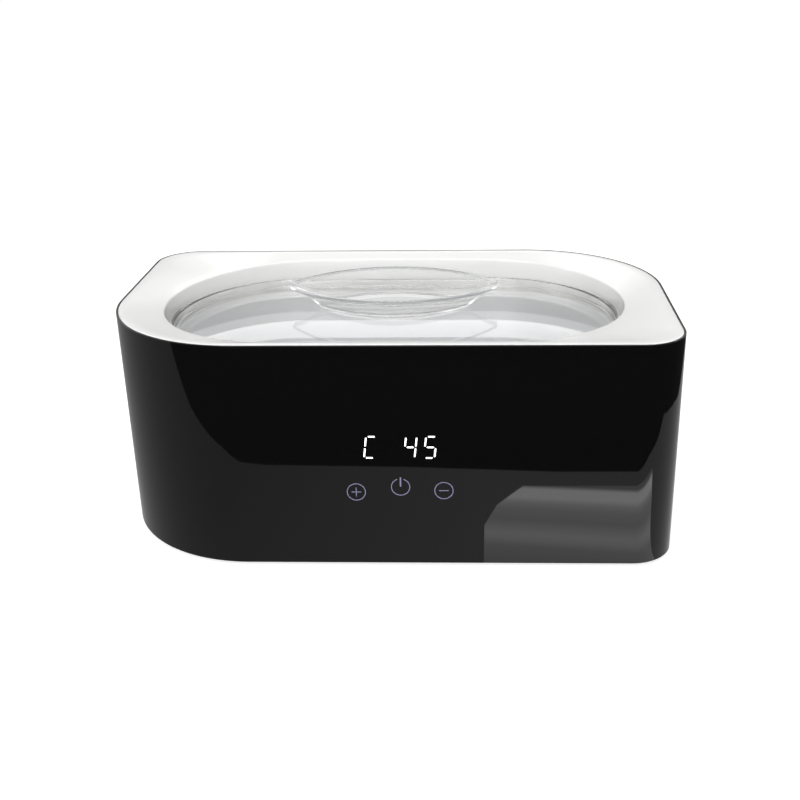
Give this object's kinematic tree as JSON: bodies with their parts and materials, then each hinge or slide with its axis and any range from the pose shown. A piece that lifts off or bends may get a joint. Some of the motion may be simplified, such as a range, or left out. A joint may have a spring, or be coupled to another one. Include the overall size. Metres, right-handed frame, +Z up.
{
  "type": "wax warmer pot",
  "caption": "Heated oval wax tank in a black casing with two large and two small corners, white sloping deck, clear domed lift-off lid with a dish handle, digital display and touch keys.",
  "frame": {"origin": "centre of the footprint, on the surface that the warmer stands on", "axes": "+X to the right, -Y to the front with the display, +Z up"},
  "size_m": [0.31, 0.18, 0.1332],
  "materials": {
    "black_gloss": "high gloss",
    "white_gloss": "gloss",
    "black_matte": "fine texture",
    "rubber": "matte",
    "steel": "zinc plated",
    "tank_aluminium": "satin anodised",
    "silicone": "matte",
    "silicone_red": "matte",
    "wool": "fibrous",
    "ceramic": "matte",
    "brass": "satin",
    "board": "satin",
    "foam": "matte",
    "blue_plastic": "satin",
    "green_plastic": "satin",
    "lead_red": "satin",
    "lead_white": "satin",
    "lead_brown": "satin",
    "lead_grey": "satin",
    "clear": "clear polycarbonate"
  },
  "bodies": {
    "base": {"outer_casing": "black_gloss", "top_deck": "white_gloss", "base_cover": "black_matte", "foot_front_left": "rubber", "foot_front_right": "rubber", "foot_back_left": "rubber", "foot_back_right": "rubber", "base_screws": "steel", "wax_tank": "tank_aluminium", "tank_gasket": "silicone", "tank_brackets": "steel", "bracket_screws": "steel", "heater_pad": "silicone_red", "heater_clamp_plate": "steel", "clamp_nuts": "steel", "insulation_sleeve": "wool", "insulation_pad": "wool", "thermal_cutoff": "ceramic", "cutoff_strap": "steel", "thermal_fuse": "brass", "fuse_clip": "steel", "temperature_sensor": "steel", "sensor_clip": "steel", "control_board": "board", "display_module": "black_matte", "display_filter": "black_gloss", "touch_pads": "foam", "board_screws": "steel", "power_board": "board", "relay": "blue_plastic", "transformer": "brass", "capacitors": "black_matte", "terminal_block": "green_plastic", "power_screws": "steel", "mains_inlet": "black_matte", "inlet_pins": "brass", "inlet_screws": "steel", "heater_leads": "lead_red", "sensor_lead": "lead_white", "mains_leads": "lead_brown", "board_cable": "lead_grey"},
    "lid": {"lid_pane": "clear", "lid_handle": "clear"}
  },
  "joints": [
    {"name": "lid_lift", "type": "slide", "parent": "base", "child": "lid", "axis": [0, 0, 1], "range_m": [0, 0.06]}
  ]
}
